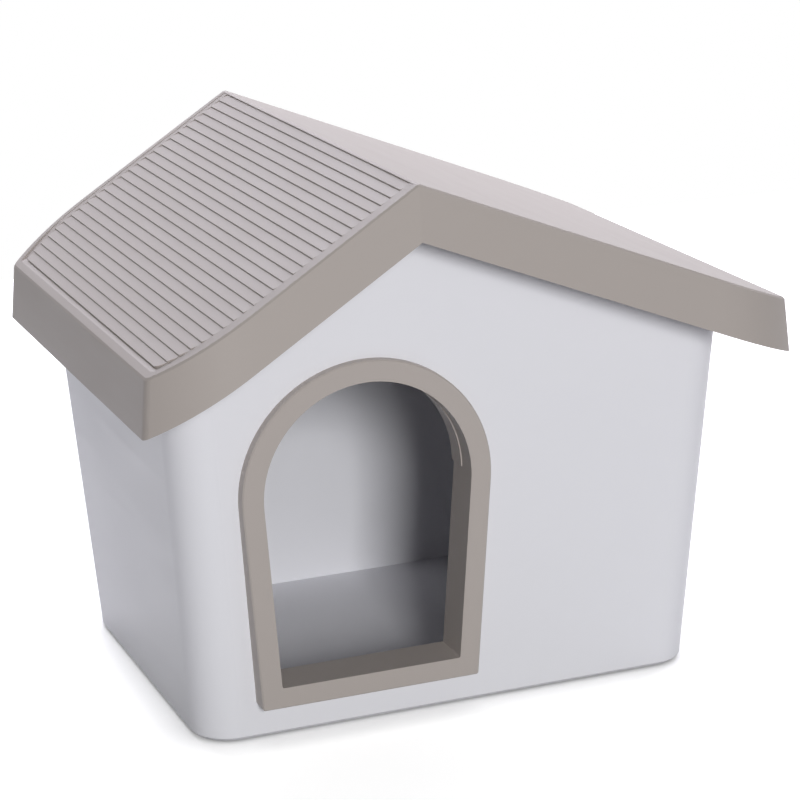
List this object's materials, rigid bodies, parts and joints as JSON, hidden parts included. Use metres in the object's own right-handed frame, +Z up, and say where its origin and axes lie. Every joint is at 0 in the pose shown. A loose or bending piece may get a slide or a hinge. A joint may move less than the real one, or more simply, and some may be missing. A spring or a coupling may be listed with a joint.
{
  "type": "dog house",
  "caption": "Plastic dog house with a flared tub, an arched door frame and an overhanging gabled roof with moulded clapboards on its short slope.",
  "frame": {"origin": "on the ground, under the middle of the roof's plan", "axes": "+Z up; the doorway faces -Y; the ridge runs along Y and the long roof slope falls towards +X"},
  "size_m": [0.6016, 0.5216, 0.4974],
  "materials": {
    "tub_plastic": "fine moulded texture, satin, cool white",
    "roof_plastic": "fine moulded texture, satin, warm taupe grey",
    "frame_plastic": "smooth moulded, satin, warm taupe grey",
    "screw_steel": "zinc plated",
    "foot_rubber": "matt",
    "plug_rubber": "matt"
  },
  "bodies": {
    "house": {"body_shell": "tub_plastic", "door_frame": "frame_plastic", "door_frame_screws": "screw_steel", "arch_strip": "frame_plastic", "vent_grille": "frame_plastic", "foot_front_left": "foot_rubber", "foot_rear_left": "foot_rubber", "foot_front_right": "foot_rubber", "foot_rear_right": "foot_rubber"},
    "roof": {"roof_shell": "roof_plastic"},
    "plug": {"drain_plug": "plug_rubber"}
  },
  "joints": [
    {"name": "roof_lift", "type": "slide", "parent": "house", "child": "roof", "axis": [0, 0, 1], "range_m": [0, 0.25]},
    {"name": "drain_plug_pull", "type": "slide", "parent": "house", "child": "plug", "axis": [0, 0, 1], "range_m": [0, 0.04]}
  ]
}
